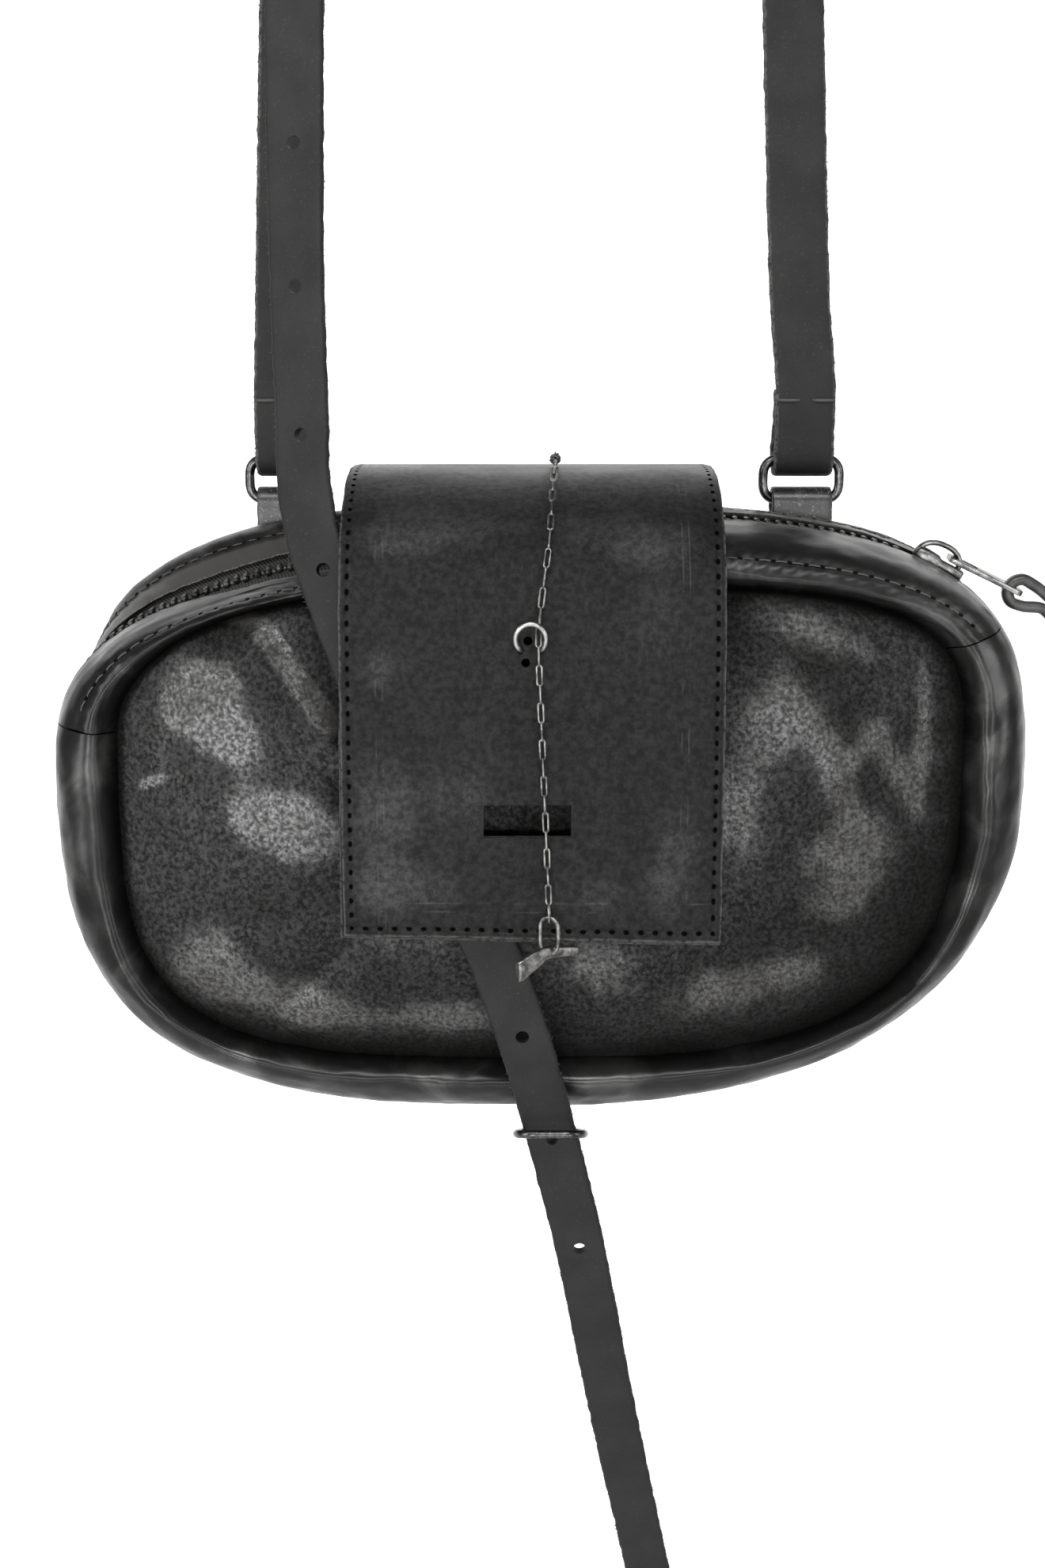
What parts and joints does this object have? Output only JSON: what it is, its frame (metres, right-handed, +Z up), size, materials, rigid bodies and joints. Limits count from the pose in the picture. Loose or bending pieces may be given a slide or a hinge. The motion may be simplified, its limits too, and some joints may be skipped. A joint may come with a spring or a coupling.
{
  "type": "leather shoulder bag",
  "caption": "Oval black leather shoulder bag with a front flap, a fine chain with a toggle, a curved zip, D-rings and a long punched strap tail.",
  "frame": {"origin": "underside of the top of the shoulder strap, where the bag hangs", "axes": "+Z up, -Y towards the front of the bag with the flap, +X to the right as seen from the front"},
  "size_m": [0.3302, 0.1159, 0.7364],
  "materials": {
    "glossy_leather": "glossy, blotchy black",
    "flap_leather": "pebbled, semi-gloss black",
    "strap_leather": "matt dark grey, rough edges",
    "zip_tape": "woven black",
    "dark_metal": "dark grey metal",
    "grey_metal": "satin, oxidised grey"
  },
  "bodies": {
    "bag": {"front_panel": "glossy_leather", "back_panel": "glossy_leather", "gusset_bottom": "glossy_leather", "zip_strip_front": "glossy_leather", "zip_strip_back": "glossy_leather", "flap_lining": "flap_leather", "flap_outer": "flap_leather", "chain_knot": "strap_leather", "shoulder_strap": "strap_leather", "left_strap": "strap_leather", "right_ring_tab": "strap_leather", "left_ring_tab": "strap_leather", "bottom_tab": "strap_leather", "zipper_tape": "zip_tape", "zipper_teeth": "dark_metal", "zip_slider": "dark_metal", "buckle": "dark_metal", "right_d_ring": "dark_metal", "left_d_ring": "dark_metal", "bottom_ring": "dark_metal", "flap_ring": "grey_metal", "chain": "grey_metal", "chain_end_link": "grey_metal", "toggle_bar": "grey_metal"},
    "pull": {"zip_pull": "dark_metal", "pull_thong": "strap_leather"}
  },
  "joints": [
    {"name": "pull_hinge", "type": "hinge", "parent": "bag", "child": "pull", "pos_m": [0.12676, -0.00802, -0.36134], "axis": [0, -1, 0], "range_deg": [0, 140]}
  ]
}
